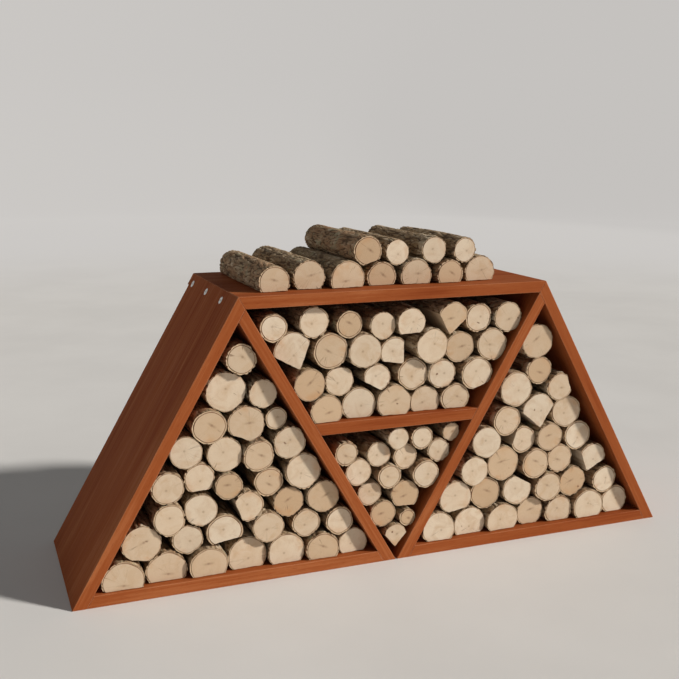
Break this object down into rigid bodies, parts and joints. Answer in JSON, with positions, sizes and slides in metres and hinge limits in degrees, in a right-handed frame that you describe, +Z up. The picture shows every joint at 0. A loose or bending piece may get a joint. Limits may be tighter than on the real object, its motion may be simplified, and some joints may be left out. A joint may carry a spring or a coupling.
{
  "type": "firewood log rack",
  "caption": "Low trapezoid firewood rack of mitred boards: two triangular bays, a middle bay with a shelf on its point, and a flat top, loaded with split logs.",
  "frame": {"origin": "on the floor, midway along the rack and midway front to back", "axes": "+X along the rack to the right seen from the front, +Y from front to back, +Z up"},
  "size_m": [1.502, 0.41, 0.7649],
  "materials": {
    "stained_wood": "red-brown stained timber, satin, with lighter worn edges",
    "firewood": "sawn and split hardwood, matte, with grey-brown bark",
    "dowel_beech": "plain beech",
    "screw_steel": "zinc-plated steel, bright"
  },
  "bodies": {
    "rack": {"left_outer_side": "stained_wood", "left_inner_side": "stained_wood", "left_base": "stained_wood", "right_outer_side": "stained_wood", "right_inner_side": "stained_wood", "right_base": "stained_wood", "top_board": "stained_wood", "middle_shelf": "stained_wood", "rear_strip": "stained_wood", "strip_screws": "screw_steel", "left_screws": "screw_steel", "right_screws": "screw_steel", "left_mitre_dowels": "dowel_beech", "left_apex_dowels": "dowel_beech", "left_heel_dowels": "dowel_beech", "left_toe_dowels": "dowel_beech", "left_shelf_dowels": "dowel_beech", "right_mitre_dowels": "dowel_beech", "right_apex_dowels": "dowel_beech", "right_heel_dowels": "dowel_beech", "right_toe_dowels": "dowel_beech", "right_shelf_dowels": "dowel_beech"},
    "left_load": {"left_logs_1": "firewood", "left_logs_2": "firewood", "left_logs_3": "firewood", "left_logs_4": "firewood"},
    "right_load": {"right_logs_1": "firewood", "right_logs_2": "firewood", "right_logs_3": "firewood", "right_logs_4": "firewood"},
    "upper_load": {"upper_logs_1": "firewood", "upper_logs_2": "firewood", "upper_logs_3": "firewood"},
    "lower_load": {"lower_logs_1": "firewood", "lower_logs_2": "firewood"},
    "top_load": {"top_logs_1": "firewood", "top_logs_2": "firewood"}
  },
  "joints": [
    {"name": "left_load_pull", "type": "slide", "parent": "rack", "child": "left_load", "axis": [0, -1, 0], "range_m": [0, 0.43]},
    {"name": "right_load_pull", "type": "slide", "parent": "rack", "child": "right_load", "axis": [0, -1, 0], "range_m": [0, 0.43]},
    {"name": "upper_load_pull", "type": "slide", "parent": "rack", "child": "upper_load", "axis": [0, -1, 0], "range_m": [0, 0.43]},
    {"name": "lower_load_pull", "type": "slide", "parent": "rack", "child": "lower_load", "axis": [0, -1, 0], "range_m": [0, 0.43]},
    {"name": "top_load_lift", "type": "slide", "parent": "rack", "child": "top_load", "axis": [0, 0, 1], "range_m": [0, 0.25]}
  ]
}
